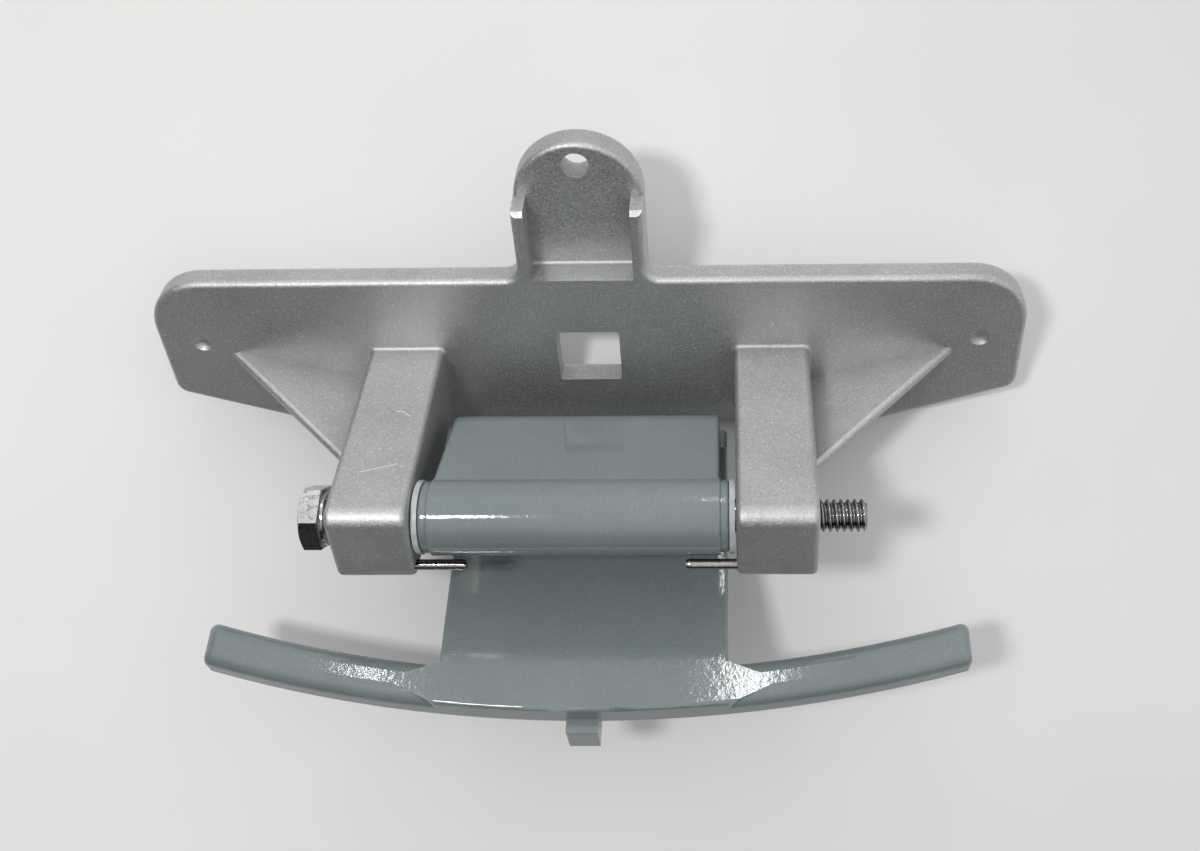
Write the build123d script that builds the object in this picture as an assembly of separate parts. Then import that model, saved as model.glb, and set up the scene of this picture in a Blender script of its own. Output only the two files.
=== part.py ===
from build123d import *
import math
import os

# Frame: X along the hinge axis, Z up the plate, front is -Y, Y = 0 on the plate's back face.
# Heights below are taken from the hinge axis, and the finished pieces are lifted so that the origin lies on the
# back face below the square hole.
AXIS_LIFT = 6.6

# Mount bracket plate
PLATE_W = 175.6
PLATE_T = 4.7
PLATE_TOP = 25.6
PLATE_LOW = -12.8
PLATE_END_LOW = -3.2
PLATE_LOW_HALF = 60.0
CORNER_R = 11.5
LOW_CORNER_R = 3.0
PLATE_EDGE_R = 1.2
SQUARE_HOLE = 12.8
SQUARE_HOLE_Z = 6.0
SQUARE_HOLE_R = 0.8
DIMPLE_X = 78.9
DIMPLE_Z = 10.2
DIMPLE_R = 1.9
DIMPLE_DEPTH = 0.9

# Tab above the plate
TAB_W = 25.0
TAB_T = 5.2
TAB_SET_BACK = 5.8
TAB_TOP = 53.2
TAB_HOLE_R = 2.7
TAB_HOLE_Z = 48.4
TAB_FOOT_H = 6.0
TAB_ROOT_R = 3.0
RIB_T = 2.4
RIB_TOP = 41.6
TAB_EDGE_R = 1.0
RIB_BEVEL = 0.9
TAB_STEP_R = 0.8

# Hinge axis and arms
AXIS_OUT = 38.2
ARM_W = 15.0
ARM_TOP = 8.3
ARM_LOW = -8.3
ARM_NOSE = 7.8
ARM_TOP_NOSE_R = 3.0
ARM_LOW_NOSE_R = 1.6
ARM_EDGE_R = 1.2
ARM_ROOT_R = 0.8
WEB_T = 2.2
WEB_X = 73.6
WEB_Z = 6.9
WEB_SLOPE = 16.8
WEB_REACH = 25.3
WEB_ROOT = 2.0
WEB_EDGE_R = 0.9

# Hinge bolt, inch thread size 1/4 in with 20 turns to the inch
BOLT_R = 6.35 / 2
BOLT_L = 100.0
BOLT_AF = 11.1
BOLT_HEAD_T = 4.1
BOLT_WASHER_T = 0.5
BOLT_WASHER_R = 5.2
BOLT_STAND_OFF = 1.5
BOLT_END_CHAMFER = 0.7
THREAD_UNDER = 0.1
THREAD_START = 0.3
BOLT_HEAD_BEVEL = 0.8
BOLT_HEAD_BEVEL_DROP = 0.45
BOLT_HOLE_CLEAR = 0.2

# Bushes in the barrel ends
BUSH_RUN_CLEAR = 0.05
BUSH_R = 4.6
BUSH_L = 12.0
FLANGE_R = 6.9
FLANGE_T = 1.0
FLANGE_GAP = 0.25

# Stop pins
PIN_R = 1.0
PIN_OUT = 9.3
PIN_IN = 8.0
PIN_FRONT = 6.4
PIN_Z = -6.0
PIN_END_CHAMFER = 0.25

# Door bracket, all in the pose shown: N runs forward from the axis, Z up from it
BARREL_R = 7.2
NECK_R = 6.7
NECK_L = 1.6
BARREL_END_R = 0.7
BAND_T = 5.0
LIMB_W = 53.2
LIMB_STEP = 0.25
LIMB_TILT = 13.6
LIMB_SINK = 0.3
WALL_BACK = 30.2
BEND_OUT_R = 8.0
LEAF_W = 56.0
LEAF_TILT = 13.4
LEAF_BACK = 4.9
LEAF_Z = -24.0
LEAF_REACH = 21.6
SHOULDER_Z = -7.5
LIMB_ROOT_R = 5.0
ROOT_RUN_ON = 0.15
BAND_EDGE_R = 0.7
BARREL_STEP_R = 0.4

# Curved bar along the leaf's front edge
BAR_R = 280.0
BAR_W = 8.4
BAR_T = 5.6
BAR_CHORD = 150.4
BAR_TOP_R = 3.0
BAR_END_R = 1.4
TAPER_L = 10.0
TAPER_IN = 0.5
LEAF_EDGE_R = 0.8
LUG_W = 6.2
LUG_OUT = 2.8
LUG_IN = 2.6
LUG_DROP = 4.6
LUG_DEPTH = 7.4
LUG_EDGE_R = 0.4

# Values that follow from the ones above
AXIS_Y = -(PLATE_T + AXIS_OUT)
BARREL_L = LIMB_W + 2 * (LIMB_STEP + NECK_L)
ARM_GAP = BARREL_L + 2 * (FLANGE_T + FLANGE_GAP)
BEND_IN_R = BEND_OUT_R - BAND_T
ARM_X = (ARM_GAP + ARM_W) / 2
ARM_OUTER = ARM_GAP / 2 + ARM_W
BOLT_X0 = -ARM_OUTER - BOLT_STAND_OFF


def at(n, z):
    """A point of the side profile: n forward of the axis, z above it."""
    return Vector(0, AXIS_Y - n, z)


def meet(p, d, q, e):
    """Where the line from p along d meets the line from q along e, in (n, z)."""
    cross = d[0] * e[1] - d[1] * e[0]
    t = ((q[0] - p[0]) * e[1] - (q[1] - p[1]) * e[0]) / cross
    return (p[0] + t * d[0], p[1] + t * d[1])


def along_x(radius, x0, x1, n=0.0, z=0.0):
    """A round bar along X from x0 to x1."""
    plane = Plane(origin=(x0, AXIS_Y - n, z), x_dir=(0, 1, 0), z_dir=(1, 0, 0))
    return extrude(plane * Circle(radius), amount=x1 - x0)


def side_slab(points, rounds, width):
    """A slab symmetric about the mid-plane, from a side profile in (n, z) with some corners rounded."""
    face = make_face(Polyline(*[at(n, z) for n, z in points], close=True))
    for (n, z), radius in rounds:
        corner = min(face.vertices(), key=lambda v: (Vector(*v) - at(n, z)).length)
        face = fillet(corner, radius)
    return extrude(face, amount=width / 2, dir=(1, 0, 0), both=True)


def edges_near(solid, axis, x=None, y=None, z=None):
    """Edges along an axis whose middle lies at the given coordinates."""
    found = []
    for edge in solid.edges().filter_by(axis):
        c = edge.center()
        if all(w is None or abs(v - w) < 0.01 for v, w in ((abs(c.X), x), (c.Y, y), (c.Z, z))):
            found.append(edge)
    return found


def side_rims(slab, reach=0.0):
    """Edges of a slab's two side faces whose middle lies further than reach from the axis."""
    sides = slab.faces().sort_by(Axis.X)
    rims = sides[0].edges() + sides[-1].edges()
    return [e for e in rims if math.hypot(e.center().Y - AXIS_Y, e.center().Z) > reach]


# Plate outline
half = PLATE_W / 2
outline = make_face(
    Polyline(
        (-PLATE_LOW_HALF, PLATE_LOW),
        (PLATE_LOW_HALF, PLATE_LOW),
        (half, PLATE_END_LOW),
        (half, PLATE_TOP),
        (-half, PLATE_TOP),
        (-half, PLATE_END_LOW),
        close=True,
    )
)
outline = fillet([v for v in outline.vertices() if abs(v.Y - PLATE_TOP) < 0.01], CORNER_R)
outline = fillet([v for v in outline.vertices() if abs(v.Y - PLATE_END_LOW) < 0.01], LOW_CORNER_R)
front_plane = Plane(origin=(0, -PLATE_T, 0), x_dir=(1, 0, 0), z_dir=(0, -1, 0))
plate = extrude(front_plane * outline, amount=-PLATE_T)

# Tab, the foot that ties it to the plate's top edge, and its two ribs
tab_front = TAB_SET_BACK - PLATE_T
tab_round = TAB_W / 2
foot_low = PLATE_TOP - TAB_FOOT_H
tab_straight = TAB_TOP - tab_round - foot_low
tab_face = Pos(0, foot_low + tab_straight / 2) * Rectangle(TAB_W, tab_straight)
tab_face += Pos(0, TAB_TOP - tab_round) * Circle(tab_round)
tab_plane = Plane(origin=(0, tab_front, 0), x_dir=(1, 0, 0), z_dir=(0, -1, 0))
tab = extrude(tab_plane * tab_face, amount=-TAB_T)
tab_rim = tab.faces().sort_by(Axis.Y)[0].edges()
tab = fillet([e for e in tab_rim if e.center().Z > foot_low + 0.01], TAB_EDGE_R)
step_y = (tab_front - PLATE_T) / 2
tab += Pos(0, step_y, PLATE_TOP - TAB_FOOT_H / 2) * Box(TAB_W, TAB_SET_BACK, TAB_FOOT_H)
rib_h = RIB_TOP - foot_low
rib_d = TAB_SET_BACK + TAB_EDGE_R
for side in (-1, 1):
    rib = Pos(side * (TAB_W - RIB_T) / 2, rib_d / 2 - PLATE_T, RIB_TOP - rib_h / 2) * Box(RIB_T, rib_d, rib_h)
    tab += chamfer(edges_near(rib, Axis.X, y=-PLATE_T, z=RIB_TOP), RIB_BEVEL)
tab = fillet(edges_near(tab, Axis.X, x=0, y=tab_front, z=PLATE_TOP), TAB_STEP_R)
bracket = plate + tab
bracket = fillet(edges_near(bracket, Axis.Y, x=TAB_W / 2, z=PLATE_TOP), TAB_ROOT_R)

# Plate's front edge, softly rounded outside the tab
front_edges = bracket.faces().sort_by(Axis.Y)[0].outer_wire().edges()
bracket = fillet([e for e in front_edges if abs(e.center().X) > TAB_W / 2 + 0.01], PLATE_EDGE_R)

# Square hole, dimples and the tab's screw hole
square = fillet(Rectangle(SQUARE_HOLE, SQUARE_HOLE).vertices(), SQUARE_HOLE_R)
bracket -= extrude(front_plane * Pos(0, SQUARE_HOLE_Z) * square, amount=-PLATE_T)
dimple_ball = (DIMPLE_R**2 + DIMPLE_DEPTH**2) / (2 * DIMPLE_DEPTH)
for side in (-1, 1):
    bracket -= Pos(side * DIMPLE_X, DIMPLE_DEPTH - PLATE_T - dimple_ball, DIMPLE_Z) * Sphere(dimple_ball)
bracket -= extrude(tab_plane * Pos(0, TAB_HOLE_Z) * Circle(TAB_HOLE_R), amount=-TAB_T)

# Arms with rounded noses, and a thin web on the outer side of each
arm_len = AXIS_OUT + ARM_NOSE
slope = math.radians(WEB_SLOPE)
web_run = (WEB_X - ARM_OUTER) / math.cos(slope)
web_into = 1 + WEB_ROOT / web_run
for side in (-1, 1):
    arm = Pos(side * ARM_X, -PLATE_T - arm_len / 2, (ARM_TOP + ARM_LOW) / 2) * Box(
        ARM_W, arm_len, ARM_TOP - ARM_LOW
    )
    arm = fillet(edges_near(arm, Axis.X, y=AXIS_Y - ARM_NOSE, z=ARM_TOP), ARM_TOP_NOSE_R)
    arm = fillet(edges_near(arm, Axis.X, y=AXIS_Y - ARM_NOSE, z=ARM_LOW), ARM_LOW_NOSE_R)
    sides = arm.faces().sort_by(Axis.X)
    rim = [e for e in sides[0].edges() + sides[-1].edges() if e.center().Y < -PLATE_T - 0.01]
    bracket += fillet(rim, ARM_EDGE_R)
    foot = [e for e in bracket.edges() if abs(e.center().Y + PLATE_T) < 0.01]
    near = [e for e in foot if abs(e.center().X - side * ARM_X) < ARM_W / 2 + 0.01]
    bracket = fillet([e for e in near if ARM_LOW - 0.01 < e.center().Z < ARM_TOP + 0.01], ARM_ROOT_R)
    web_plane = Plane(
        origin=(side * WEB_X, -PLATE_T, WEB_Z),
        x_dir=(-side * math.cos(slope), 0, -math.sin(slope)),
        z_dir=(-side * math.sin(slope), 0, math.cos(slope)),
    )
    reach = -WEB_REACH * web_plane.y_dir.Y
    web = make_face(
        Polyline((0, 0), (web_run * web_into, 0), (web_run * web_into, reach * web_into), close=True)
    )
    web = extrude(web_plane * web, amount=WEB_T / 2, both=True)
    bracket += fillet(web.edges().sort_by(SortBy.LENGTH)[-2:], WEB_EDGE_R)

# Bolt holes and stop pin holes in the arms
bracket -= along_x(BOLT_R + BOLT_HOLE_CLEAR, -ARM_OUTER, -ARM_GAP / 2)
bracket -= along_x(BOLT_R, ARM_GAP / 2, ARM_OUTER)
pin_x = ARM_GAP / 2 + PIN_IN
bracket -= along_x(PIN_R, -pin_x, -ARM_GAP / 2, PIN_FRONT, PIN_Z)
bracket -= along_x(PIN_R, ARM_GAP / 2, pin_x, PIN_FRONT, PIN_Z)

# Hinge bolt
hex_plane = Plane(origin=(BOLT_X0 - BOLT_WASHER_T, AXIS_Y, 0), x_dir=(0, 1, 0), z_dir=(-1, 0, 0))
head = extrude(hex_plane * RegularPolygon(BOLT_AF / 2, 6, major_radius=False), amount=BOLT_HEAD_T)
blank = extrude(hex_plane * Circle(BOLT_AF / math.sqrt(3)), amount=BOLT_HEAD_T)
head &= chamfer(blank.edges(), BOLT_HEAD_BEVEL_DROP, BOLT_HEAD_BEVEL)
bolt = head + along_x(BOLT_WASHER_R, BOLT_X0 - BOLT_WASHER_T, BOLT_X0)
thread_x = ARM_OUTER + THREAD_START
bolt += along_x(BOLT_R, BOLT_X0, thread_x)
thread = along_x(BOLT_R - THREAD_UNDER, thread_x, BOLT_X0 + BOLT_L)
bolt += chamfer(thread.edges().sort_by(Axis.X)[-1:], BOLT_END_CHAMFER)

# Stop pins
pins = []
for side in (-1, 1):
    pin = along_x(PIN_R, side * (ARM_GAP / 2 - PIN_OUT), side * pin_x, PIN_FRONT, PIN_Z)
    pins.append(chamfer(pin.edges().filter_by(GeomType.CIRCLE), PIN_END_CHAMFER))

# Door bracket: barrel with necked ends
step_x = BARREL_L / 2 - NECK_L
barrel = along_x(BARREL_R, -step_x, step_x)
barrel = fillet(barrel.edges().filter_by(GeomType.CIRCLE), BARREL_STEP_R)
neck = along_x(NECK_R, -BARREL_L / 2, BARREL_L / 2)
barrel += fillet(neck.edges().filter_by(GeomType.CIRCLE), BARREL_END_R)

# Side profile lines of the limb, the wall behind it and the leaf
limb_t = math.radians(LIMB_TILT)
limb_dir = (-math.cos(limb_t), -math.sin(limb_t))
limb_up = (-math.sin(limb_t), math.cos(limb_t))
limb_rise = BARREL_R - LIMB_SINK
limb_out = (limb_up[0] * limb_rise, limb_up[1] * limb_rise)
limb_in = (limb_up[0] * (limb_rise - BAND_T), limb_up[1] * (limb_rise - BAND_T))
leaf_t = math.radians(LEAF_TILT)
leaf_dir = (math.cos(leaf_t), -math.sin(leaf_t))
leaf_up = (math.sin(leaf_t), math.cos(leaf_t))
leaf_top = (-LEAF_BACK, LEAF_Z)
leaf_low = (-LEAF_BACK - leaf_up[0] * BAND_T, LEAF_Z - leaf_up[1] * BAND_T)
wall_out = (-WALL_BACK, 0.0)
wall_in = (BAND_T - WALL_BACK, 0.0)
down = (0.0, -1.0)
bend_out = meet(limb_out, limb_dir, wall_out, down)
bend_in = meet(limb_in, limb_dir, wall_in, down)
foot_out = meet(leaf_low, leaf_dir, wall_out, down)
foot_in = meet(leaf_top, leaf_dir, wall_in, down)
leaf_end = (LEAF_REACH + LEAF_BACK) / leaf_dir[0]
tip = (LEAF_REACH, LEAF_Z + leaf_end * leaf_dir[1])
inner_tip = (tip[0] - leaf_dir[0] * BAR_W, tip[1] - leaf_dir[1] * BAR_W)
inner_low = (inner_tip[0] - leaf_up[0] * BAND_T, inner_tip[1] - leaf_up[1] * BAND_T)

# Root of the limb: its inner face turns through an arc that ends on a circle just inside the barrel
arc_h = limb_rise - BAND_T - LIMB_ROOT_R
arc_s = math.sqrt((limb_rise + LIMB_ROOT_R) ** 2 - arc_h**2)
arc_mid = (limb_dir[0] * arc_s + limb_up[0] * arc_h, limb_dir[1] * arc_s + limb_up[1] * arc_h)
arc_share = limb_rise / (limb_rise + LIMB_ROOT_R)
arc_end = (arc_mid[0] * arc_share, arc_mid[1] * arc_share)
root = meet(limb_in, limb_dir, arc_end, (-arc_mid[1], arc_mid[0]))
root_end = tuple(e + (e - r) * ROOT_RUN_ON for e, r in zip(arc_end, root))

# Limb from the barrel and over the bend
limb = side_slab(
    [limb_out, bend_out, (-WALL_BACK, SHOULDER_Z), (BAND_T - WALL_BACK, SHOULDER_Z), bend_in, root, root_end, (0, 0)],
    [(bend_out, BEND_OUT_R), (bend_in, BEND_IN_R), (root, LIMB_ROOT_R)],
    LIMB_W,
)
limb = fillet(side_rims(limb, BARREL_R), BAND_EDGE_R)

# Wall and leaf, a little wider than the limb
leaf = side_slab(
    [(-WALL_BACK, SHOULDER_Z), foot_out, inner_low, inner_tip, foot_in, (BAND_T - WALL_BACK, SHOULDER_Z)],
    [(foot_out, BEND_OUT_R), (foot_in, BEND_IN_R)],
    LEAF_W,
)
leaf = fillet(side_rims(leaf), BAND_EDGE_R)

# Curved bar, drawn in the plane of the leaf's top face with its local y running back along the leaf
tip_plane = Plane(origin=at(*tip), x_dir=(1, 0, 0), z_dir=(0, -leaf_up[0], leaf_up[1]))
rim_disc = Pos(0, BAR_R) * Circle(BAR_R) - Pos(0, BAR_R) * Circle(BAR_R - BAR_W)
bar_face = rim_disc & Pos(0, BAR_W * 2) * Rectangle(BAR_CHORD, BAR_W * 5)
bar = extrude(tip_plane * bar_face, amount=-BAR_T)


def arc_y(x):
    """Local y of the bar's outer edge at x."""
    return BAR_R - math.sqrt(BAR_R**2 - x**2)


leaf_half = LEAF_W / 2
leaf_y = arc_y(leaf_half)
taper_x = leaf_half + TAPER_L
taper_y = arc_y(taper_x) + BAR_TOP_R + TAPER_IN
front_arc = ThreePointArc((-leaf_half, leaf_y), (0, 0), (leaf_half, leaf_y))
back_line = Polyline(
    (leaf_half, leaf_y),
    (taper_x, taper_y),
    (leaf_half, leaf_y + BAR_W),
    (-leaf_half, leaf_y + BAR_W),
    (-taper_x, taper_y),
    (-leaf_half, leaf_y),
)
middle = extrude(tip_plane * make_face([front_arc, back_line]), amount=-BAR_T)
middle = fillet(middle.edges().filter_by(GeomType.CIRCLE).sort_by(Axis.Z)[-1:], LEAF_EDGE_R)

# Rounded ends and rounded top edge of the bar
bar = fillet([e for e in bar.edges().filter_by(GeomType.LINE) if abs(e.length - BAR_T) < 0.01], BAR_END_R)
rims = [e for e in bar.edges().filter_by(GeomType.CIRCLE) if abs(e.radius - BAR_R) < 0.01]
bar = fillet([max(rims, key=lambda e: e.center().Z)], BAR_TOP_R)

# All joined
door = barrel + limb + leaf + bar + middle

# Lug hanging from the middle of the bar's lower front edge
lug_y = (LUG_IN - LUG_OUT) / 2
lug = Pos(0, lug_y, -LUG_DROP - LUG_DEPTH / 2) * Box(LUG_W, LUG_IN + LUG_OUT, LUG_DEPTH)
door += tip_plane.location * fillet(lug.faces().sort_by(Axis.Y)[0].edges(), LUG_EDGE_R)

# Bore for the bushes right through the barrel
door -= along_x(BUSH_R, -BARREL_L / 2, BARREL_L / 2)

# Flanged bushes
bushes = []
for side in (-1, 1):
    end = side * BARREL_L / 2
    bush = along_x(BUSH_R, end - side * BUSH_L, end) + along_x(FLANGE_R, end, end + side * FLANGE_T)
    bushes.append(bush - along_x(BOLT_R + BUSH_RUN_CLEAR, end - side * BUSH_L, end + side * FLANGE_T))

os.makedirs("parts", exist_ok=True)
lift = Pos(0, 0, AXIS_LIFT)
export_step(lift * bracket, "parts/mount_bracket.step")
export_step(lift * door, "parts/door_bracket.step")
export_step(lift * bolt, "parts/hinge_bolt.step")
export_step(lift * bushes[0], "parts/bush_left.step")
export_step(lift * bushes[1], "parts/bush_right.step")
export_step(lift * pins[0], "parts/stop_pin_left.step")
export_step(lift * pins[1], "parts/stop_pin_right.step")
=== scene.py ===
# %% [markdown]
# A dryer door hinge, dressed for the camera.
# The hinge has a cast aluminium bracket that is screwed to the cabinet, and a painted gooseneck that carries the
# door. A bolt through both makes the hinge, and two spring pins stop the door when it is fully open.
# The solid shapes come ready made from the frame. This lesson gives them their finishes, replaces the plain bolt
# and pins by detailed ones, and sets up the floor, the lamps and the camera.

import math

import bmesh
import bpy
from mathutils import Matrix, Vector


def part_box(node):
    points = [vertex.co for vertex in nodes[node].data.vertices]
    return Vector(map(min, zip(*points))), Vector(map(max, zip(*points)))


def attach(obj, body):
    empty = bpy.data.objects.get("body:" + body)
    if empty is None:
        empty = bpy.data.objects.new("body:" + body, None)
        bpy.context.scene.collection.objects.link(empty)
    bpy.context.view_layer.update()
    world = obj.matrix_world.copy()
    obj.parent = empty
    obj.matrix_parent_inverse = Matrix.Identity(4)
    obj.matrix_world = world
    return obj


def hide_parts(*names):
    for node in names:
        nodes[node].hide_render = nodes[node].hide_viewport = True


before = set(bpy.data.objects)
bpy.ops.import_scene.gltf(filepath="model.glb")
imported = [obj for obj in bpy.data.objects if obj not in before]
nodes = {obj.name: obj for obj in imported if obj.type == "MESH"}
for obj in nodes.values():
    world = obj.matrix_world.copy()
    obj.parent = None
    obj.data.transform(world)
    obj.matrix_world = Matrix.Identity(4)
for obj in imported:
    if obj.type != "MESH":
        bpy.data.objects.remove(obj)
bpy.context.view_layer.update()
MM = 0.001
print("frame nodes:", sorted(nodes))

# %% [markdown]
# Where the hinge axis lies. Every piece below is placed from the boxes of the frame's own nodes, so it follows the
# solids if their sizes change. The barrel's bushes sit on the axis, and so their middle gives its height and depth.

# %% The hinge axis
bush_low, bush_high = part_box("bush_left")
AXIS = (bush_low + bush_high) / 2
AXIS.x = 0.0
bolt_low, bolt_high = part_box("hinge_bolt")
print("hinge axis at y %.4f, z %.4f m" % (AXIS.y, AXIS.z))

# %% [markdown]
# Small helpers. A node tree is easiest to read when each node is one line: its kind, its settings and what feeds it.
# `add` makes a node, sets its plain values, and links its inputs.


# %% Node helpers
def add(tree, kind, inputs=None, **settings):
    """Makes a node. Inputs are numbers, colours or other nodes' sockets, by name or place."""
    node = tree.nodes.new(kind)
    for name, value in settings.items():
        setattr(node, name, value)
    for key, value in (inputs or {}).items():
        socket = node.inputs[key]
        if isinstance(value, bpy.types.NodeSocket):
            tree.links.new(value, socket)
        else:
            socket.default_value = value
    return node


def maths(tree, operation, *values, clamp=False):
    """A Math node's result."""
    node = add(tree, "ShaderNodeMath", dict(enumerate(values)), operation=operation, use_clamp=clamp)
    return node.outputs[0]


def ramp(tree, value, low, high, to_low=0.0, to_high=1.0):
    """A value mapped smoothly from one range to another."""
    node = add(
        tree,
        "ShaderNodeMapRange",
        {"Value": value, "From Min": low, "From Max": high, "To Min": to_low, "To Max": to_high},
        interpolation_type="SMOOTHSTEP",
    )
    return node.outputs["Result"]


def tint(tree, share, first, second):
    """Two colours mixed by a mask."""
    node = add(tree, "ShaderNodeMix", {0: share, 6: first, 7: second}, data_type="RGBA")
    return node.outputs[2]


def share_of(tree, mask, weight):
    """A mask made weaker."""
    return maths(tree, "MULTIPLY", mask, weight)


def grey(value):
    """A neutral colour."""
    return (value, value, value, 1.0)


print("helpers ready")

# %% [markdown]
# Effects that several finishes share are node groups. This first one is the fine grain of a blasted or sprayed
# surface: a height for the bump, and a mask of single bright specks, one per cell of a Voronoi pattern. A speckled
# picture would also do, but a noise follows the surface at any scale and needs no unwrapping.


# %% Group: fine grain
def shader_group(name, inputs, outputs):
    """An empty node group with float inputs (name: default) and float outputs."""
    group = bpy.data.node_groups.new(name, "ShaderNodeTree")
    for socket, default in inputs.items():
        made = group.interface.new_socket(socket, in_out="INPUT", socket_type="NodeSocketFloat")
        made.default_value = default
    for socket in outputs:
        group.interface.new_socket(socket, in_out="OUTPUT", socket_type="NodeSocketFloat")
    enter = group.nodes.new("NodeGroupInput")
    leave = group.nodes.new("NodeGroupOutput")
    return group, enter, leave


def make_grain():
    group, enter, leave = shader_group(
        "fine_grain", {"Cells per metre": 2500.0, "Speck share": 0.2}, ["Height", "Specks"]
    )
    where = add(group, "ShaderNodeTexCoord").outputs["Object"]
    cells = enter.outputs["Cells per metre"]
    noise = add(group, "ShaderNodeTexNoise", {"Vector": where, "Scale": cells, "Detail": 2.0, "Roughness": 0.6})
    flakes = add(group, "ShaderNodeTexVoronoi", {"Vector": where, "Scale": cells}, feature="F1")
    chance = add(group, "ShaderNodeSeparateColor", {0: flakes.outputs["Color"]}).outputs[0]
    limit = maths(group, "SUBTRACT", 1.0, enter.outputs["Speck share"])
    group.links.new(noise.outputs["Fac"], leave.inputs["Height"])
    group.links.new(maths(group, "GREATER_THAN", chance, limit), leave.inputs["Specks"])
    return group


FINE_GRAIN = make_grain()
print("group:", FINE_GRAIN.name)

# %% [markdown]
# Worn edges, painted highlights and painted shade. Rays that are sent into the metal soon meet the other face near
# an outer edge, and rays that are sent outwards soon meet the neighbour in an inner corner. Two ambient occlusion
# nodes measure both, whatever the mesh is like, and a noise breaks the outer mask up, because handling never rubs an
# edge evenly. On the aluminium the edge mask marks rubbed edges, and on the paint it lightens the edges as a painted
# highlight. The corner mask darkens inner corners in every finish, which is painted shade.


# %% Group: worn edges and painted light
def make_wear_and_painted_light():
    group, enter, leave = shader_group(
        "edge_wear_and_painted_light",
        {"Edge width": 0.0012, "Corner width": 0.004, "Patches per metre": 160.0},
        ["Edge", "Corner"],
    )
    inner = add(
        group, "ShaderNodeAmbientOcclusion", {"Distance": enter.outputs["Edge width"]}, inside=True, only_local=True,
        samples=8,
    )
    outer = add(group, "ShaderNodeAmbientOcclusion", {"Distance": enter.outputs["Corner width"]}, samples=8)
    where = add(group, "ShaderNodeTexCoord").outputs["Object"]
    patch = add(
        group,
        "ShaderNodeTexNoise",
        {"Vector": where, "Scale": enter.outputs["Patches per metre"], "Detail": 4.0, "Roughness": 0.65},
    )
    rubbed = ramp(group, patch.outputs["Fac"], 0.3, 0.6, 0.35, 1.0)
    edge = ramp(group, maths(group, "SUBTRACT", 1.0, inner.outputs["AO"]), 0.08, 0.5)
    group.links.new(maths(group, "MULTIPLY", edge, rubbed), leave.inputs["Edge"])
    group.links.new(maths(group, "SUBTRACT", 1.0, outer.outputs["AO"]), leave.inputs["Corner"])
    return group


WEAR_AND_PAINTED_LIGHT = make_wear_and_painted_light()
print("group:", WEAR_AND_PAINTED_LIGHT.name)

# %% [markdown]
# A broad unevenness, such as flow marks in a casting, handling on steel or a thin spot in paint, is a slow noise.
# It is small, but a surface without it looks like plastic.


# %% Group: cloudiness
def make_clouds():
    group, enter, leave = shader_group("cloudiness", {"Clouds per metre": 60.0}, ["Clouds"])
    where = add(group, "ShaderNodeTexCoord").outputs["Object"]
    noise = add(
        group,
        "ShaderNodeTexNoise",
        {"Vector": where, "Scale": enter.outputs["Clouds per metre"], "Detail": 3.0, "Roughness": 0.55},
    )
    group.links.new(ramp(group, noise.outputs["Fac"], 0.3, 0.7), leave.inputs["Clouds"])
    return group


CLOUDINESS = make_clouds()
print("group:", CLOUDINESS.name)

# %% [markdown]
# A single scratch is the set of points close to a straight line. The group measures the distance of the surface
# point from the line between two ends, and is placed once for each scratch, with its own ends and width.


# %% Group: one scratch
def make_scratch():
    group, enter, leave = shader_group("scratch", {"Width": 0.0002}, ["Scratch"])
    for end in ("Start", "End"):
        group.interface.new_socket(end, in_out="INPUT", socket_type="NodeSocketVector")
    where = add(group, "ShaderNodeTexCoord").outputs["Object"]

    def vector(operation, first, second):
        return add(group, "ShaderNodeVectorMath", {0: first, 1: second}, operation=operation)

    run = vector("SUBTRACT", enter.outputs["End"], enter.outputs["Start"]).outputs[0]
    away = vector("SUBTRACT", where, enter.outputs["Start"]).outputs[0]
    along = maths(
        group,
        "DIVIDE",
        vector("DOT_PRODUCT", away, run).outputs["Value"],
        vector("DOT_PRODUCT", run, run).outputs["Value"],
        clamp=True,
    )
    reach = add(group, "ShaderNodeVectorMath", {0: run, "Scale": along}, operation="SCALE").outputs[0]
    far = vector("DISTANCE", away, reach).outputs["Value"]
    mask = ramp(group, maths(group, "DIVIDE", far, enter.outputs["Width"]), 0.4, 1.0, 1.0, 0.0)
    group.links.new(mask, leave.inputs["Scratch"])
    return group


SCRATCH = make_scratch()
print("group:", SCRATCH.name)

# %% [markdown]
# Every finish starts in the same way: a material with its Principled shader, groups placed in its tree, and links to
# the shader's inputs. Four short helpers keep the finishes below down to what is special about each.


# %% Material helpers
def new_material(name):
    """A material with an empty Principled shader: the material, its tree and the shader."""
    material = bpy.data.materials.new(name)
    material.use_nodes = True
    tree = material.node_tree
    return material, tree, tree.nodes["Principled BSDF"]


def place(tree, group, **values):
    """A node group placed in a material. Underscores in the names stand for spaces."""
    node = tree.nodes.new("ShaderNodeGroup")
    node.node_tree = group
    for name, value in values.items():
        node.inputs[name.replace("_", " ")].default_value = value
    return node.outputs


def join(tree, shader, **sockets):
    """Links sockets to the shader's inputs."""
    for name, socket in sockets.items():
        tree.links.new(socket, shader.inputs[name.replace("_", " ")])


def bump(tree, height, distance, below=None):
    """A Bump node's normal. Another normal may lie below it."""
    inputs = {"Height": height, "Distance": distance, "Strength": 1.0}
    if below is not None:
        inputs["Normal"] = below
    return add(tree, "ShaderNodeBump", inputs).outputs["Normal"]


print("material helpers ready")
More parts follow.
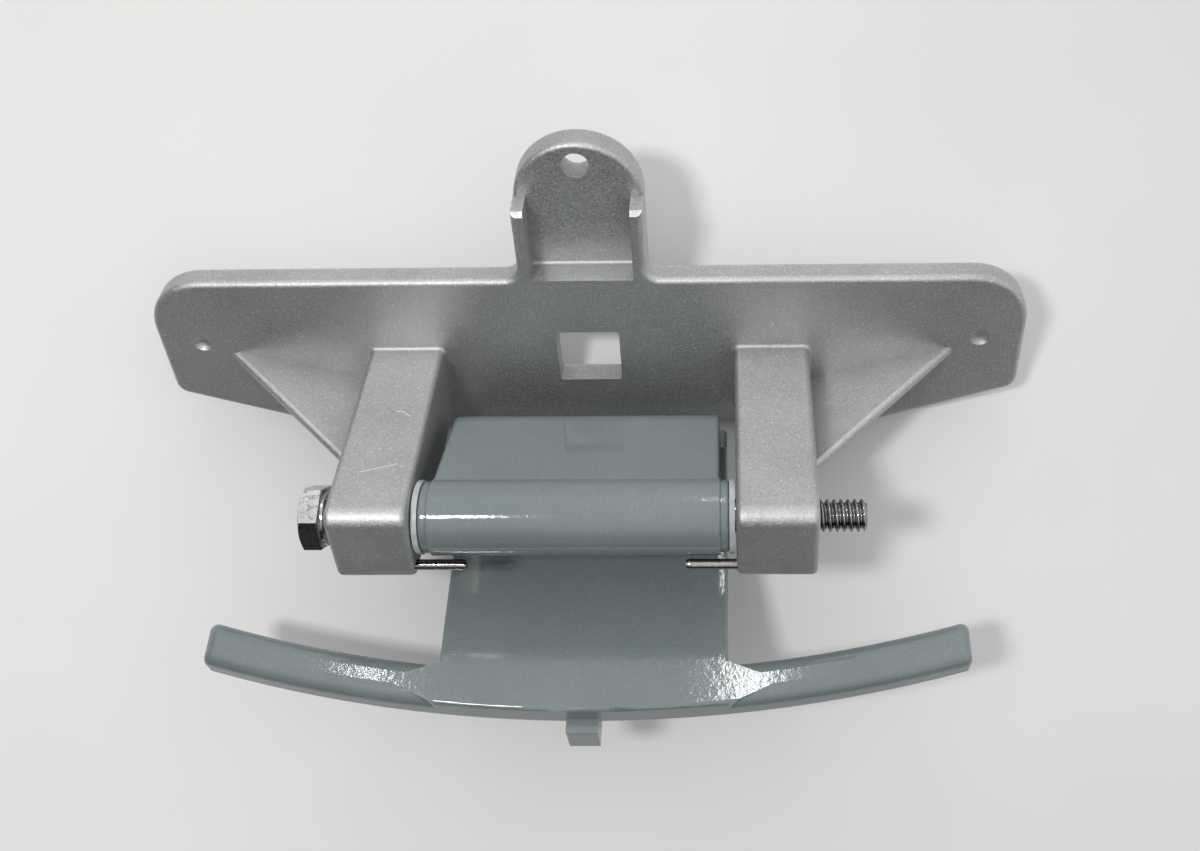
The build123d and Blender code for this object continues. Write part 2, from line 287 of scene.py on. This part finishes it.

# %% [markdown]
# The cast aluminium of the bracket. The casting was blasted to a matt grey that sparkles, and its outer edges are
# rubbed bright. Its inner corners are darkened with painted shade. The metal is a Principled shader with full
# Metallic. Base colour and roughness come from the groups above, and the grain also lifts the surface a little
# through Bump nodes. Handling has left three scratches on the top of the left arm. Each has its two ends and its
# width in millimetres.

# %% Cast aluminium
ARM_TOP = 14.9
ARM_SCRATCHES = (
    ((-39.8, -39.1, ARM_TOP), (-33.2, -37.2, ARM_TOP), 0.16),
    ((-35.9, -23.0, ARM_TOP), (-34.6, -23.2, ARM_TOP), 0.22),
    ((-34.6, -23.2, ARM_TOP), (-33.1, -24.4, ARM_TOP), 0.18),
)
CAST_DULL, CAST_PALE = grey(0.44), grey(0.50)
CAST_PIT, CAST_GRIT, CAST_SPARK = grey(0.22), grey(0.72), grey(0.85)
CAST_CORNER_SHADE, CAST_EDGE = grey(0.24), grey(0.80)
CAST_SMOOTH, CAST_ROUGH = 0.48, 0.62
COARSE_LIFT, FINE_LIFT = 0.06 * MM, 0.04 * MM


def make_cast_aluminium():
    material, tree, shader = new_material("cast_aluminium")
    grain = place(tree, FINE_GRAIN, Cells_per_metre=3000.0, Speck_share=0.05)
    coarse = place(tree, FINE_GRAIN, Cells_per_metre=900.0)
    wear_and_painted_light = place(tree, WEAR_AND_PAINTED_LIGHT, Edge_width=0.0011, Corner_width=0.005, Patches_per_metre=170.0)
    clouds = place(tree, CLOUDINESS, Clouds_per_metre=70.0)
    colour = tint(tree, clouds["Clouds"], CAST_DULL, CAST_PALE)
    colour = tint(tree, ramp(tree, grain["Height"], 0.50, 0.30, 0.0, 0.30), colour, CAST_PIT)
    colour = tint(tree, ramp(tree, grain["Height"], 0.50, 0.68, 0.0, 0.4), colour, CAST_GRIT)
    colour = tint(tree, share_of(tree, grain["Specks"], 0.25), colour, CAST_SPARK)
    # Painted shade: the inner corners are darkened.
    colour = tint(tree, share_of(tree, wear_and_painted_light["Corner"], 0.35), colour, CAST_CORNER_SHADE)
    colour = tint(tree, share_of(tree, wear_and_painted_light["Edge"], 0.25), colour, CAST_EDGE)
    for start, end, width in ARM_SCRATCHES:
        line = place(tree, SCRATCH, Start=Vector(start) * MM, End=Vector(end) * MM, Width=width * MM)
        colour = tint(tree, share_of(tree, line["Scratch"], 0.7), colour, CAST_SPARK)
    matt = ramp(tree, grain["Height"], 0.3, 0.7, CAST_SMOOTH, CAST_ROUGH)
    rubbed = maths(tree, "SUBTRACT", matt, share_of(tree, wear_and_painted_light["Edge"], 0.10))
    lifted = bump(tree, coarse["Height"], COARSE_LIFT)
    join(
        tree,
        shader,
        Base_Color=colour,
        Roughness=rubbed,
        Normal=bump(tree, grain["Height"], FINE_LIFT, below=lifted),
    )
    shader.inputs["Metallic"].default_value = 1.0
    return material


CAST_ALUMINIUM = make_cast_aluminium()
print("finish:", CAST_ALUMINIUM.name)

# %% [markdown]
# The gooseneck's paint. It is a glossy grey with a touch of blue and green, sprayed thick enough to flow. A glossy
# Principled shader with a low roughness gives the shine, and the colour has fine flakes and slow clouds. Sprayed
# paint dries in low waves about a millimetre long, so the bump is a slow noise.

# %% Grey paint
PAINT_DARK, PAINT_LIGHT = (0.148, 0.180, 0.178, 1.0), (0.164, 0.197, 0.195, 1.0)
PAINT_FLECK = (0.42, 0.47, 0.47, 1.0)
PAINT_CORNER_SHADE, PAINT_EDGE_HIGHLIGHT = (0.12, 0.145, 0.147, 1.0), (0.36, 0.41, 0.41, 1.0)
PAINT_SMOOTH, PAINT_ROUGH = 0.06, 0.10
PAINT_WAVE = 0.02 * MM
PAINT_SHINE = 0.6


def make_grey_paint():
    material, tree, shader = new_material("grey_paint")
    flakes = place(tree, FINE_GRAIN, Cells_per_metre=4500.0, Speck_share=0.07)
    clouds = place(tree, CLOUDINESS, Clouds_per_metre=45.0)
    wear_and_painted_light = place(tree, WEAR_AND_PAINTED_LIGHT, Edge_width=0.0009, Corner_width=0.004, Patches_per_metre=220.0)
    colour = tint(tree, clouds["Clouds"], PAINT_DARK, PAINT_LIGHT)
    colour = tint(tree, share_of(tree, flakes["Specks"], 0.12), colour, PAINT_FLECK)
    # Painted shade: the inner corners are darkened.
    colour = tint(tree, share_of(tree, wear_and_painted_light["Corner"], 0.3), colour, PAINT_CORNER_SHADE)
    # Painted highlight: the outer edges are lightened.
    colour = tint(tree, share_of(tree, wear_and_painted_light["Edge"], 0.10), colour, PAINT_EDGE_HIGHLIGHT)
    waves = place(tree, FINE_GRAIN, Cells_per_metre=800.0)
    join(tree, shader, Base_Color=colour, Normal=bump(tree, waves["Height"], PAINT_WAVE))
    join(tree, shader, Roughness=ramp(tree, flakes["Height"], 0.3, 0.7, PAINT_SMOOTH, PAINT_ROUGH))
    shader.inputs["Specular IOR Level"].default_value = PAINT_SHINE
    return material


GREY_PAINT = make_grey_paint()
print("finish:", GREY_PAINT.name)

# %% [markdown]
# Bright steel. The bolt is plated and mirrors the room, its rolled thread is darker, and the spring pins are plain
# hard steel, a little duller and browner. All are the same mixture with other numbers, so one function makes them.

# %% Bolt and pin steel
STEEL_MARK, STEEL_CORNER_SHADE = grey(0.2), grey(0.05)
STEEL_LIFT = 0.01 * MM


def make_steel(name, light, dark, smooth, rough):
    """Clouded steel between a light and a dark colour, and between two roughnesses."""
    material, tree, shader = new_material(name)
    clouds = place(tree, CLOUDINESS, Clouds_per_metre=420.0)
    grain = place(tree, FINE_GRAIN, Cells_per_metre=3200.0)
    wear_and_painted_light = place(tree, WEAR_AND_PAINTED_LIGHT, Corner_width=0.0012)
    marks = place(tree, FINE_GRAIN, Cells_per_metre=1100.0)
    colour = tint(tree, clouds["Clouds"], light, dark)
    colour = tint(tree, ramp(tree, marks["Height"], 0.52, 0.62, 0.0, 0.6), colour, STEEL_MARK)
    # Painted shade: the inner corners and the thread's grooves are darkened.
    colour = tint(tree, share_of(tree, wear_and_painted_light["Corner"], 0.9), colour, STEEL_CORNER_SHADE)
    join(
        tree,
        shader,
        Base_Color=colour,
        Roughness=ramp(tree, clouds["Clouds"], 0.0, 1.0, smooth, rough),
        Normal=bump(tree, grain["Height"], STEEL_LIFT),
    )
    shader.inputs["Metallic"].default_value = 1.0
    return material


BOLT_STEEL = make_steel("bolt_steel", (0.62, 0.63, 0.64, 1.0), (0.48, 0.49, 0.50, 1.0), 0.08, 0.16)
THREAD_STEEL = make_steel("thread_steel", (0.42, 0.42, 0.43, 1.0), (0.28, 0.28, 0.29, 1.0), 0.08, 0.14)
PIN_STEEL = make_steel("pin_steel", (0.44, 0.42, 0.40, 1.0), (0.30, 0.29, 0.27, 1.0), 0.12, 0.24)
print("finishes:", BOLT_STEEL.name, THREAD_STEEL.name, PIN_STEEL.name)

# %% [markdown]
# The bushes are white nylon. Light goes a little way into it, which softens its shading, so it has a small
# subsurface share. Moulded nylon is neither glossy nor dull, and a faint cloudiness keeps it from looking flat.

# %% White nylon
NYLON_DARK, NYLON_LIGHT = (0.36, 0.385, 0.39, 1.0), (0.44, 0.465, 0.47, 1.0)
NYLON_CORNER_SHADE = (0.30, 0.32, 0.33, 1.0)
NYLON_SMOOTH, NYLON_ROUGH = 0.38, 0.48
NYLON_DEPTH = 0.6 * MM


def make_white_nylon():
    material, tree, shader = new_material("white_nylon")
    clouds = place(tree, CLOUDINESS, Clouds_per_metre=380.0)
    wear_and_painted_light = place(tree, WEAR_AND_PAINTED_LIGHT, Corner_width=0.0015)
    colour = tint(tree, clouds["Clouds"], NYLON_DARK, NYLON_LIGHT)
    # Painted shade: the inner corners are darkened.
    colour = tint(tree, share_of(tree, wear_and_painted_light["Corner"], 0.5), colour, NYLON_CORNER_SHADE)
    satin = ramp(tree, clouds["Clouds"], 0.0, 1.0, NYLON_SMOOTH, NYLON_ROUGH)
    join(tree, shader, Base_Color=colour, Roughness=satin)
    shader.inputs["Subsurface Weight"].default_value = 0.25
    shader.inputs["Subsurface Radius"].default_value = (1.0, 1.0, 1.0)
    shader.inputs["Subsurface Scale"].default_value = NYLON_DEPTH
    return material


WHITE_NYLON = make_white_nylon()
print("finish:", WHITE_NYLON.name)

# %% [markdown]
# The frame's own solids take their finishes in their material slots. Their shapes are right, so their meshes are
# left alone.


# %% Finish the frame's solids
def finish_node(name, material):
    mesh = nodes[name].data
    mesh.materials.clear()
    mesh.materials.append(material)
    print("finished", name, "with", material.name)


finish_node("mount_bracket", CAST_ALUMINIUM)
finish_node("door_bracket", GREY_PAINT)
finish_node("bush_left", WHITE_NYLON)
finish_node("bush_right", WHITE_NYLON)
finish_node("hinge_bolt", BOLT_STEEL)
finish_node("stop_pin_left", PIN_STEEL)
finish_node("stop_pin_right", PIN_STEEL)

# %% [markdown]
# Geometry Nodes need the same helper, plus one that turns the tree's result into a plain mesh object. The modifier's
# inputs are set by their identifiers before the object is first evaluated, and the modifier is gone afterwards.


# %% Geometry node helpers
def geometry_group(name, inputs):
    """An empty geometry tree with named inputs (name: kind and default) and one geometry output."""
    group = bpy.data.node_groups.new(name, "GeometryNodeTree")
    for socket, (kind, default) in inputs.items():
        made = group.interface.new_socket(socket, in_out="INPUT", socket_type="NodeSocket" + kind)
        made.default_value = default
    group.interface.new_socket("Geometry", in_out="OUTPUT", socket_type="NodeSocketGeometry")
    enter = group.nodes.new("NodeGroupInput")
    leave = group.nodes.new("NodeGroupOutput")
    return group, enter.outputs, leave.inputs["Geometry"]


def grow(name, group, values):
    """Runs a geometry tree with its own values and keeps the result as a plain mesh object."""
    seed = bpy.data.objects.new(name + "_seed", bpy.data.meshes.new(name + "_seed"))
    bpy.context.scene.collection.objects.link(seed)
    modifier = seed.modifiers.new("tree", "NODES")
    modifier.node_group = group
    for item in group.interface.items_tree:
        if item.in_out == "INPUT" and item.name in values:
            modifier[item.identifier] = values[item.name]
    shown = seed.evaluated_get(bpy.context.evaluated_depsgraph_get())
    mesh = bpy.data.meshes.new_from_object(shown)
    mesh.name = name
    bpy.data.objects.remove(seed)
    piece = bpy.data.objects.new(name, mesh)
    bpy.context.scene.collection.objects.link(piece)
    print(name, "has", len(mesh.polygons), "faces")
    return piece


def finish_tree(group, geometry, material, leave):
    """The last nodes of every tree: real faces, and the material on them."""
    real = add(group, "GeometryNodeRealizeInstances", {"Geometry": geometry}).outputs["Geometry"]
    dressed = add(group, "GeometryNodeSetMaterial", {"Geometry": real, "Material": material})
    group.links.new(dressed.outputs["Geometry"], leave)


print("geometry helpers ready")

# %% [markdown]
# The threaded end of the bolt. A thread is a ridge that climbs one pitch for each turn. It could be modelled as a
# swept triangle, but here a flat grid is rolled into a tube, and the radius of each point is set by its place within
# the pitch. The tube is rolled backwards, which gives a right-handed thread with its faces outwards. The outer end
# is drawn in to a bevel, and the first and last rows go to the middle, which closes the tube.

# %% Thread tree
TINY = 1e-6


def make_thread_tree():
    group, given, leave = geometry_group(
        "rolled_thread",
        {
            "Length": ("Float", 0.015),
            "Radius": ("Float", 0.003),
            "Pitch": ("Float", 0.00127),
            "Depth": ("Float", 0.0007),
            "Bevel": ("Float", 0.0007),
            "Around": ("Int", 64),
            "Along": ("Int", 150),
        },
    )

    def m(operation, *values):
        return maths(group, operation, *values)

    grid = add(
        group,
        "GeometryNodeMeshGrid",
        {
            "Size X": given["Length"],
            "Size Y": 1.0,
            "Vertices X": given["Along"],
            "Vertices Y": given["Around"],
        },
    )
    spot = add(group, "ShaderNodeSeparateXYZ", {0: add(group, "GeometryNodeInputPosition").outputs[0]})
    run = m("ADD", spot.outputs["X"], m("MULTIPLY", given["Length"], 0.5))
    left = m("SUBTRACT", given["Length"], run)
    turn = m("ADD", spot.outputs["Y"], 0.5)
    phase = m("FRACT", m("ADD", m("DIVIDE", run, given["Pitch"]), turn))
    flank = m("MULTIPLY", m("ABSOLUTE", m("SUBTRACT", phase, 0.5)), 2.0)
    groove = ramp(group, flank, 0.12, 0.88)
    crest = m("SUBTRACT", given["Radius"], m("MULTIPLY", groove, given["Depth"]))
    cone = m("ADD", m("SUBTRACT", given["Radius"], given["Bevel"]), left)
    inside = m("GREATER_THAN", m("MINIMUM", run, left), TINY)
    radius = m("MULTIPLY", m("MINIMUM", crest, cone), inside)
    angle = m("MULTIPLY", turn, -2 * math.pi)
    bent = add(
        group,
        "ShaderNodeCombineXYZ",
        {0: run, 1: m("MULTIPLY", radius, m("COSINE", angle)), 2: m("MULTIPLY", radius, m("SINE", angle))},
    )
    rolled = add(group, "GeometryNodeSetPosition", {"Geometry": grid.outputs["Mesh"], "Position": bent.outputs[0]})
    sewn = add(group, "GeometryNodeMergeByDistance", {"Geometry": rolled.outputs[0], "Distance": TINY})
    smooth = add(group, "GeometryNodeSetShadeSmooth", {"Geometry": sewn.outputs[0]})
    finish_tree(group, smooth.outputs[0], THREAD_STEEL, leave)
    return group


THREAD_TREE = make_thread_tree()
print("tree:", THREAD_TREE.name)

# %% [markdown]
# The tree now grows the bolt's own thread, with 20 turns to the inch. Its depth is a share of the height of a sharp
# 60 degree ridge, because a rolled thread has blunt crests and roots. It ends level with the frame's plain bolt.

# %% Grow the thread
CREST_R = 3.075 * MM
PITCH = 25.4 / 20 * MM
SHARP_RIDGE = 0.87 * PITCH
THREAD_DEPTH = 0.62 * SHARP_RIDGE
THREAD_BEVEL = 0.75 * MM
THREAD_L = 17.0 * MM


def put(piece, offset):
    """Moves a mesh while its object stays at the origin."""
    piece.data.transform(Matrix.Translation(offset))
    piece.data.update()


thread = grow(
    "bolt_thread",
    THREAD_TREE,
    {"Length": THREAD_L, "Radius": CREST_R, "Pitch": PITCH, "Depth": THREAD_DEPTH, "Bevel": THREAD_BEVEL},
)
put(thread, Vector((bolt_high.x - THREAD_L, AXIS.y, AXIS.z)))
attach(thread, "frame")

# %% [markdown]
# The bolt's head and shank. Seen from the end, the head is a hexagon, and its corners are cut by a cone. For every
# direction round the axis the hexagon gives a radius, so the head is a set of rings: a flat centre, the cone down to
# the hexagon, the six sides, the washer face and the shank. Plain mesh code writes such rings more directly than
# a modifier would. The bolt was tightened until its head stood 21 degrees round.

# %% Bolt head and shank
BOLT_R = 3.175 * MM
HEAD_T = 4.1 * MM
WASHER_T = 0.5 * MM
WASHER_R = 5.2 * MM
ACROSS = bolt_high.z - bolt_low.z
CONE_R = ACROSS / 2 - 0.35 * MM
CONE_SLOPE = 0.5
FACE_RIM, FACE_DROP = 0.2 * MM, 0.04 * MM
EDGE_BREAK = 0.25 * MM
NECK = 0.3 * MM
AROUND = 96
HEAD_TURN = math.radians(21)
HEAD_CREASE = math.radians(28)


def hexagon(angle):
    """Distance from the axis to the hexagon's side in a direction. One flat faces up."""
    sixth = math.pi / 3
    turned = (angle + sixth / 2) % sixth - sixth / 2
    return ACROSS / 2 / math.cos(turned)


def bolt_rings():
    """Rings of (x, radius) for each direction, from the head's face to where the thread begins."""
    face = bolt_low.x
    seat = face + HEAD_T
    shoulder = seat + WASHER_T
    end = bolt_high.x - THREAD_L
    rings = []
    for step in range(AROUND):
        angle = 2 * math.pi * step / AROUND
        side = hexagon(angle + math.pi / 2)
        drop = (side - CONE_R) * CONE_SLOPE
        rings.append(
            [
                (face, CONE_R * 0.5),
                (face, CONE_R - FACE_RIM),
                (face + FACE_DROP, CONE_R),
                (face + FACE_DROP + drop, side),
                (seat - EDGE_BREAK, side),
                (seat, side - EDGE_BREAK),
                (seat, WASHER_R),
                (shoulder, WASHER_R),
                (shoulder, BOLT_R + NECK),
                (shoulder + NECK, BOLT_R),
                (end, BOLT_R),
            ]
        )
    return rings


def ring_mesh(name, rings, material):
    """Skins rings round the hinge axis and closes the first and the last ring with fans."""
    count, rows = len(rings), len(rings[0])
    points = []
    for step, ring in enumerate(rings):
        angle = 2 * math.pi * step / count + HEAD_TURN
        for x, radius in ring:
            points.append((x, AXIS.y + radius * math.cos(angle), AXIS.z + radius * math.sin(angle)))
    for x, _ in (rings[0][0], rings[0][-1]):
        points.append((x, AXIS.y, AXIS.z))
    faces = []
    for step in range(count):
        here, there = step * rows, (step + 1) % count * rows
        faces.append((here, there, count * rows))
        faces.append((there + rows - 1, here + rows - 1, count * rows + 1))
        for row in range(rows - 1):
            faces.append((here + row, here + row + 1, there + row + 1, there + row))
    mesh = bpy.data.meshes.new(name)
    mesh.from_pydata(points, [], faces)
    mesh.materials.append(material)
    mesh.validate()
    piece = bpy.data.objects.new(name, mesh)
    bpy.context.scene.collection.objects.link(piece)
    return piece


bolt = ring_mesh("bolt_body", bolt_rings(), BOLT_STEEL)
work = bmesh.new()
work.from_mesh(bolt.data)
bmesh.ops.recalc_face_normals(work, faces=work.faces)
work.to_mesh(bolt.data)
work.free()
bolt.data.shade_smooth()
bolt.data.set_sharp_from_angle(angle=HEAD_CREASE)
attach(bolt, "frame")
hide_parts("hinge_bolt")
print("bolt head", round(ACROSS / MM, 2), "mm across flats")

# %% [markdown]
# The stop pins are spring pins: a strip of hard steel rolled into a tube with a slit left open. The tree does just
# that. It starts from a flat strip, a box with many divisions, and rolls it round the pin's axis, so the slit and
# the hollow come by themselves. The ends are drawn in a little, which is how such a pin finds its hole.


# %% Spring pin tree
def make_pin_tree():
    group, given, leave = geometry_group(
        "rolled_spring_pin",
        {
            "Length": ("Float", 0.017),
            "Radius": ("Float", 0.001),
            "Wall": ("Float", 0.0003),
            "Slit": ("Float", 0.0005),
            "Nose": ("Float", 0.0006),
            "Nose draw": ("Float", 0.00015),
            "Slit turn": ("Float", 0.0),
        },
    )

    def m(operation, *values, clamp=False):
        return maths(group, operation, *values, clamp=clamp)

    middle = m("SUBTRACT", given["Radius"], m("MULTIPLY", given["Wall"], 0.5))
    width = m("SUBTRACT", m("MULTIPLY", middle, 2 * math.pi), given["Slit"])
    size = add(group, "ShaderNodeCombineXYZ", {0: given["Length"], 1: width, 2: given["Wall"]})
    strip = add(
        group,
        "GeometryNodeMeshCube",
        {"Size": size.outputs[0], "Vertices X": 60, "Vertices Y": 49, "Vertices Z": 2},
    )
    spot = add(group, "ShaderNodeSeparateXYZ", {0: add(group, "GeometryNodeInputPosition").outputs[0]})
    to_end = m("SUBTRACT", m("MULTIPLY", given["Length"], 0.5), m("ABSOLUTE", spot.outputs["X"]))
    nose = m("SUBTRACT", 1.0, m("DIVIDE", to_end, given["Nose"]), clamp=True)
    radius = m("SUBTRACT", m("ADD", middle, spot.outputs["Z"]), m("MULTIPLY", nose, given["Nose draw"]))
    angle = m("ADD", m("DIVIDE", spot.outputs["Y"], middle), given["Slit turn"])
    bent = add(
        group,
        "ShaderNodeCombineXYZ",
        {
            0: spot.outputs["X"],
            1: m("MULTIPLY", radius, m("SINE", angle)),
            2: m("MULTIPLY", radius, m("COSINE", angle)),
        },
    )
    rolled = add(group, "GeometryNodeSetPosition", {"Geometry": strip.outputs["Mesh"], "Position": bent.outputs[0]})
    smooth = add(group, "GeometryNodeSetShadeSmooth", {"Geometry": rolled.outputs[0]})
    finish_tree(group, smooth.outputs[0], PIN_STEEL, leave)
    return group


PIN_TREE = make_pin_tree()
print("tree:", PIN_TREE.name)

# %% [markdown]
# Both pins grow from the same tree. Their length, radius and place come from the frame's plain pins. Only the way
# that the slit faces differs, because a pin is driven in as it happens to lie.

# %% Grow both pins
SLIT_TURNS = {"left": math.radians(150), "right": math.radians(-128)}
PIN_WALL, PIN_SLIT = 0.36 * MM, 0.45 * MM
PIN_CREASE = math.radians(35)
for side, slit_turn in SLIT_TURNS.items():
    low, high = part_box("stop_pin_" + side)
    pin = grow(
        "spring_pin_" + side,
        PIN_TREE,
        {
            "Length": high.x - low.x,
            "Radius": (high.z - low.z) / 2,
            "Wall": PIN_WALL,
            "Slit": PIN_SLIT,
            "Slit turn": slit_turn,
        },
    )
    put(pin, (low + high) / 2)
    pin.data.set_sharp_from_angle(angle=PIN_CREASE)
    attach(pin, "frame")
    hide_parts("stop_pin_" + side)

# %% [markdown]
# The floor. In the picture the hinge lies on its back on a pale table, tilted, because it rests on the gooseneck's
# bend and on the plate. So the table's plane is tilted in the hinge's own frame. Three directions describe it:
# right, up the picture, and off the table. The floor shows only its upper side, so that views from below see the
# hinge and not the floor.

# %% Table plane
LIE = 0.9
RIGHT = Vector((1, 0, 0))
UP = Vector((0, math.cos(LIE), math.sin(LIE)))
OFF = Vector((0, -math.sin(LIE), math.cos(LIE)))
TABLE_AT = Vector((-12.17, -1.22, -7.33)) * MM
FLOOR_HALF = 900.0
FLOOR_DARK, FLOOR_LIGHT = (0.69, 0.685, 0.67, 1.0), (0.72, 0.715, 0.70, 1.0)


def on_table(right, up, off):
    """A point given in millimetres along the table, up the picture and off the table."""
    return TABLE_AT + (RIGHT * right + UP * up + OFF * off) * MM


def make_floor_material():
    material, tree, shader = new_material("pale_floor")
    clouds = place(tree, CLOUDINESS, Clouds_per_metre=9.0)
    join(tree, shader, Base_Color=tint(tree, clouds["Clouds"], FLOOR_DARK, FLOOR_LIGHT))
    shader.inputs["Roughness"].default_value = 0.6
    shader.inputs["Specular IOR Level"].default_value = 0.2
    under = add(tree, "ShaderNodeBsdfTransparent").outputs[0]
    back = add(tree, "ShaderNodeNewGeometry").outputs["Backfacing"]
    mixed = add(tree, "ShaderNodeMixShader", {0: back, 1: shader.outputs[0], 2: under})
    tree.links.new(mixed.outputs[0], tree.nodes["Material Output"].inputs["Surface"])
    return material


floor_mesh = bpy.data.meshes.new("floor")
corners = [(-1, -1), (1, -1), (1, 1), (-1, 1)]
floor_mesh.from_pydata([on_table(FLOOR_HALF * a, FLOOR_HALF * b, 0.0) for a, b in corners], [], [(0, 1, 2, 3)])
floor_mesh.materials.append(make_floor_material())
floor = bpy.data.objects.new("floor", floor_mesh)
bpy.context.scene.collection.objects.link(floor)
print("floor faces", tuple(round(v, 3) for v in floor_mesh.polygons[0].normal))

# %% [markdown]
# The light. A soft panel hangs over the table near the viewer, a little to the left. It draws the thin bright line
# along the barrel and lights the arms' rounded noses. Two panels far up the picture only mirror in the curved bar's
# flat top. An area lamp shines along its own -Z, so its axes are built from the line to what it is aimed at.

# %% Lamps
AIM = on_table(12.0, -10.0, 25.0)


def panel(name, at, width, height, watts):
    """A soft lamp of a given size in millimetres, aimed at the hinge."""
    light = bpy.data.lights.new(name, "AREA")
    light.shape = "RECTANGLE"
    light.size = width * MM
    light.size_y = height * MM
    light.energy = watts
    back = (at - AIM).normalized()
    across = (RIGHT - back * RIGHT.dot(back)).normalized()
    axes = Matrix((across, back.cross(across), back)).transposed()
    hung = bpy.data.objects.new(name, light)
    hung.matrix_world = Matrix.Translation(at) @ axes.to_4x4()
    bpy.context.scene.collection.objects.link(hung)
    print("panel", name, "gives", watts, "W from", round((at - AIM).length, 2), "m away")


panel("near_panel", on_table(-125.0, 66.0, 500.0), 70.0, 48.0, 1.05)
panel("far_panel", on_table(64.0, 1250.0, 740.0), 50.0, 330.0, 1.1)
panel("far_left_panel", on_table(-425.0, 1250.0, 740.0), 18.0, 330.0, 0.6)

# %% [markdown]
# The world is the room. It is bright in the direction up the picture and dim towards the viewer, so that rounded
# metal has a light and a dark side. The camera sees it white, and so do mirrors, as far as the room is bright there.

# %% World
world = bpy.data.worlds.new("bright_room")
world.use_nodes = True
bpy.context.scene.world = world
sky = world.node_tree
DIM, BRIGHT = 0.04, 1.22
DIM_UNTIL = -0.1
BRIGHT_WAY = (UP * 0.56 + OFF * 0.76 + RIGHT * 0.42).normalized()
towards = add(sky, "ShaderNodeTexCoord").outputs["Generated"]
facing = add(sky, "ShaderNodeVectorMath", {0: towards, 1: BRIGHT_WAY}, operation="DOT_PRODUCT").outputs["Value"]
open_side = ramp(sky, facing, DIM_UNTIL, 1.0)
seen = add(sky, "ShaderNodeLightPath").outputs
mirrored = maths(sky, "MAXIMUM", seen["Is Glossy Ray"], seen["Is Transmission Ray"])
white_share = maths(sky, "MAXIMUM", seen["Is Camera Ray"], maths(sky, "MULTIPLY", mirrored, open_side))
level = maths(sky, "ADD", maths(sky, "MULTIPLY", open_side, BRIGHT - DIM), DIM)
room = add(sky, "ShaderNodeBackground", {"Color": (0.97, 0.985, 1.0, 1.0), "Strength": level})
white = add(sky, "ShaderNodeBackground", {"Color": grey(1.0), "Strength": 1.0})
both = add(sky, "ShaderNodeMixShader", {0: white_share, 1: room.outputs[0], 2: white.outputs[0]})
sky.links.new(both.outputs[0], sky.nodes["World Output"].inputs["Surface"])
print("room light from", DIM, "to", BRIGHT)

# %% [markdown]
# The camera stands straight over the table, as in the picture, a little to the right of the hinge and up from it.
# The picture was cropped off centre, and the lens shift repeats that crop.

# %% Camera
PICTURE_W = 1200
PICTURE_H = 851
FOCAL_PX = 1330.0
CENTRE_PX = (688.0, 342.5)
CAMERA_AT = Vector((28.93, -207.98, 192.37)) * MM
CAMERA_RIGHT = Vector((0.99945, 0.01938, -0.02674))
CAMERA_UP = Vector((0.0075, 0.65531, 0.75532))

camera_data = bpy.data.cameras.new("camera")
camera_data.sensor_width = 36.0
camera_data.lens = FOCAL_PX * camera_data.sensor_width / PICTURE_W
camera_data.shift_x = (PICTURE_W / 2 - CENTRE_PX[0]) / PICTURE_W
camera_data.shift_y = (CENTRE_PX[1] - PICTURE_H / 2) / PICTURE_W
camera_data.clip_start = 0.01
camera_data.clip_end = 20.0
camera = bpy.data.objects.new("camera", camera_data)
axes = Matrix((CAMERA_RIGHT, CAMERA_UP, CAMERA_RIGHT.cross(CAMERA_UP))).transposed()
camera.matrix_world = Matrix.Translation(CAMERA_AT) @ axes.to_4x4()
bpy.context.scene.collection.objects.link(camera)
bpy.context.scene.camera = camera
bpy.context.scene.view_settings.view_transform = "Standard"
print("lens %.1f mm, shift %.3f %.3f" % (camera_data.lens, camera_data.shift_x, camera_data.shift_y))
